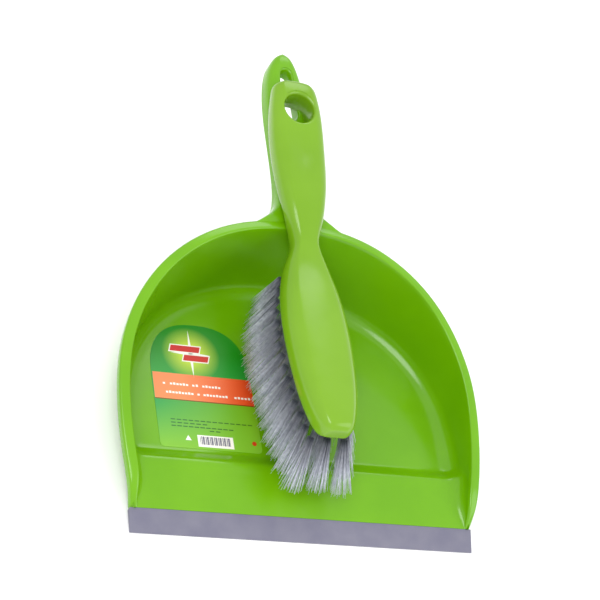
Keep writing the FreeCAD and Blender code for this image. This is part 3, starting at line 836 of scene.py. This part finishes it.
def holeBlock(name, levels):
    # a turned block on the hole's axis: one ring for each (radius, height along the axis)
    turn = Matrix.Rotation(hole["tilt"], 3, "X")
    rings = []
    for radius, height in levels:
        ring = []
        for step in range(hole["steps"] + 1):
            angle = 2 * math.pi * step / hole["steps"]
            spot = turn @ Vector((radius * math.cos(angle), radius * math.sin(angle), height))
            ring.append(tuple(spot + Vector((0, hole["y"], hole["top"]))))
        rings.append(ring)
    obj = gridFrom(name, rings)
    fillHoles(obj)
    return obj


def makeBrush():
    obj = halfLoft("brushSkin", [brushRow(y) for y in brush["rows"]])
    applyModifier(obj, "SUBSURF", levels=1, render_levels=1)
    start, end = brush["roomStart"], brush["roomEnd"]
    roomAt = [start, start + 1.5, start + 4]
    roomAt += [start + (end - start) * n / 9 for n in range(1, 9)]
    roomAt += [end - 4, end - 1.5, end]
    room = halfLoft("brushRoom", [roomRow(y) for y in roomAt])
    combine(obj, room, "DIFFERENCE")
    radius, flare = hole["radius"], hole["lip"]
    outer = radius + hole["wall"]
    combine(obj, holeBlock("holeWall", [(outer, hole["foot"]), (outer, 1.0)]), "UNION")
    flareLow = hole["lipTop"] - flare
    cut = [(radius, hole["foot"] - 3), (radius, flareLow)] + flareRings(flare, radius, flareLow, (22, 45, 68, 90))
    combine(obj, holeBlock("holeCut", cut + [(radius + flare, 9)]), "DIFFERENCE")
    return obj


# ---- bristles: every tuft is a bundle of crimped filaments that fans out from its hole

bristles = {
    "count": 70,          # filaments in a tuft
    "radius": 0.27,
    "rootSpread": 1.9,
    "tipSpread": 5.2,
    "bend": 0.5,
    "ragged": 2.4,
    "strays": 0.012,      # share of filaments that stand out on their own
    "frontReach": 1.12,   # the first ranks stand a little longer than their cones
    "frontSpread": 2.4,   # and splay wider
    "sweep": 4.5,         # how far the tips are swept towards the lip
    "frontRanks": 4,
    "rings": 4,
    "turn": 2.39996,      # from one filament of a tuft to the next, so that they fill the circle evenly
    "dome": 1.6,          # how much shorter a tuft's outer filaments are
    "leanShare": (0.8, 1.12),
    "strayLean": 3.2, "strayReach": 1.04,
    "clear": 0.5,         # least height over the pan's floor
    "seed": 11,
}


def tuftAxes(node):
    # where each cone of a rank starts and ends, from the frame's own mesh
    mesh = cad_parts[node].data
    flat = np.empty(len(mesh.vertices) * 3)
    mesh.vertices.foreach_get("co", flat)
    corners = np.empty(len(mesh.loops), int)
    mesh.loops.foreach_get("vertex_index", corners)
    places, same = np.unique(np.round(flat.reshape(-1, 3) / mm, 2), axis=0, return_inverse=True)
    faces = same.ravel()[corners].reshape(-1, 3)
    group = np.arange(len(places))
    for sweep in range(200):             # far more passes than a rank needs
        lowest = group[faces].min(axis=1)
        before = group.copy()
        for corner in range(3):
            np.minimum.at(group, faces[:, corner], lowest)
        if (group == before).all():
            break
    axes = []
    for number in np.unique(group):
        cone = places[group == number]
        middle = (cone[:, 2].min() + cone[:, 2].max()) / 2
        ends = [cone[cone[:, 2] > middle], cone[cone[:, 2] <= middle]]
        axes.append([(end.min(axis=0) + end.max(axis=0)) / 2 for end in ends])
    return axes


def oneFilament():
    # a thin three-sided rod, one unit long, that narrows at its tip
    bpy.ops.object.select_all(action="DESELECT")
    bpy.ops.mesh.primitive_cone_add(vertices=3, radius1=1, radius2=0.35, depth=1, end_fill_type="NGON")
    rod = bpy.context.object
    bpy.ops.object.mode_set(mode="EDIT")
    for ring in range(1, bristles["rings"]):
        bpy.ops.mesh.select_all(action="SELECT")
        height = -0.5 + ring / bristles["rings"]
        bpy.ops.mesh.bisect(plane_co=(0, 0, height), plane_no=(0, 0, 1))
    bpy.ops.object.mode_set(mode="OBJECT")
    points = np.array([vertex.co[:] for vertex in rod.data.vertices])
    points[:, 2] += 0.5
    faces = [list(face.vertices) for face in rod.data.polygons]
    bpy.data.objects.remove(rod)
    return points, faces


def makeTufts(node, rod, chance):
    points, faces = rod
    allPoints, allFaces = [], []
    rank = int(node[-2:])
    front = max(1 - (rank - 1) / bristles["frontRanks"], 0)
    for root, tip in tuftAxes(node):
        axis = (tip - root) * (1 + (bristles["frontReach"] - 1) * front)
        axis[1] -= bristles["sweep"] * (1 - 0.5 * front)
        long = np.linalg.norm(axis)
        axis /= long
        side = np.cross(axis, (0.0, 1.0, 0.0))
        side /= np.linalg.norm(side)
        other = np.cross(side, axis)
        for number in range(bristles["count"]):
            ring = math.sqrt((number + 0.5) / bristles["count"])
            turn = number * bristles["turn"] + chance.uniform(-0.3, 0.3)
            spot = (side * math.cos(turn) + other * math.sin(turn)) * ring
            start = root + spot * bristles["rootSpread"]
            flare = bristles["tipSpread"] + bristles["frontSpread"] * front - bristles["rootSpread"]
            lean = spot * flare * chance.uniform(*bristles["leanShare"])
            reach = long + chance.normal(0, bristles["ragged"] * 0.5) - bristles["dome"] * ring * ring
            if chance.random() < bristles["strays"]:
                lean, reach = lean * bristles["strayLean"], reach * bristles["strayReach"]
            bow = side * chance.normal(0, bristles["bend"]) + other * chance.normal(0, bristles["bend"])
            spin = chance.uniform(0, 2 * math.pi)
            share = points[:, 2:3]
            x = points[:, 0:1] * math.cos(spin) - points[:, 1:2] * math.sin(spin)
            y = points[:, 0:1] * math.sin(spin) + points[:, 1:2] * math.cos(spin)
            made = start + axis * share * reach + lean * share ** 1.1 + bow * (share * (1 - share))
            made = made + (side * x + other * y) * bristles["radius"]
            base = len(allPoints) * len(points)
            allPoints.append(made)
            allFaces += [[base + i for i in face] for face in faces]
    places = np.concatenate(allPoints)
    floor = np.array([floorHeight(y) for y in places[:, 1]]) + bristles["clear"]
    places[:, 2] = np.maximum(places[:, 2], floor)
    mesh = bpy.data.meshes.new(node)
    mesh.from_pydata((places * mm).tolist(), [], allFaces)
    obj = bpy.data.objects.new(node + "_bristles", mesh)
    bpy.context.collection.objects.link(obj)
    return obj


# ---- everything put together

makeCamera()
pan = joinPieces(makeBowl(), makeRibs() + [makeGrip()])
finishPiece(pan, "pan_moulding", "pan", panPlastic, ["pan_tray"], 35)
print("pan made,", len(pan.data.polygons), "faces")

lipPiece = makeLip()
finishPiece(lipPiece, "soft_lip", "pan", softRubber, ["pan_lip"], 40)

sheet = makeLabel()
finishPiece(sheet, "label_sheet", "pan", labelFilm, ["pan_label"], 30)
for ink, blocks in makePrint().items():
    block = joinPieces(blocks[0], blocks[1:]) if len(blocks) > 1 else blocks[0]
    finishPiece(block, "label_print_" + ink, "pan", inks[ink], [], 30)
print("lip and label made")

brushPiece = makeBrush()
finishPiece(brushPiece, "brush_moulding", "brush", brushPlasticWithSheen, ["brush_body"], 50)
print("brush made,", len(brushPiece.data.polygons), "faces")

rod = oneFilament()
chance = np.random.default_rng(bristles["seed"])
for node in tuftNodes:
    tufts = makeTufts(node, rod, chance)
    finishPiece(tufts, node.replace("tufts", "bristles"), "brush", filament, [node], 180)
print("bristles made")

# the anchors keep the frame's own mesh and take their wire's finish
anchorWire = makeAnchorWire()
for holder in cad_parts["tuft_anchors"].material_slots:
    holder.material = anchorWire

# ---- floor and light

studio = {
    "floor": 6.0, "drop": 0.4, "sky": 0.9, "aim": (0, 0.05, 0),
    "key": {"at": (-0.9, -0.5, 1.7), "size": 1.3, "power": 21},
    "fill": {"at": (1.3, -0.9, 1.2), "size": 1.6, "power": 12},
    "back": {"at": (0.5, 1.4, 1.2), "size": 1.0, "power": 5},
}


def makeStudio():
    bpy.context.scene.view_settings.view_transform = "Standard"
    bpy.ops.mesh.primitive_plane_add(size=studio["floor"], location=(0, 0, -studio["drop"] * mm))
    floor = bpy.context.object
    floor.name = "studioFloor"
    material, tree, shader, place = newMaterial("paleFloor")
    shader.inputs["Base Color"].default_value = linearColour("#FAFAFA")
    shader.inputs["Roughness"].default_value = 0.9
    floor.data.materials.append(material)
    for name in ("key", "fill", "back"):
        lamp = studio[name]
        bpy.ops.object.light_add(type="AREA", location=lamp["at"])
        light = bpy.context.object
        light.name = name + "Light"
        light.data.shape = "DISK"
        light.data.size = lamp["size"]
        light.data.energy = lamp["power"]
        facing = Vector(studio["aim"]) - Vector(lamp["at"])
        light.rotation_euler = facing.to_track_quat("-Z", "Y").to_euler()
    world = bpy.data.worlds.new("studio")
    world.use_nodes = True
    background = world.node_tree.nodes["Background"]
    background.inputs["Color"].default_value = linearColour("#FFFFFF")
    background.inputs["Strength"].default_value = studio["sky"]
    bpy.context.scene.world = world


makeStudio()
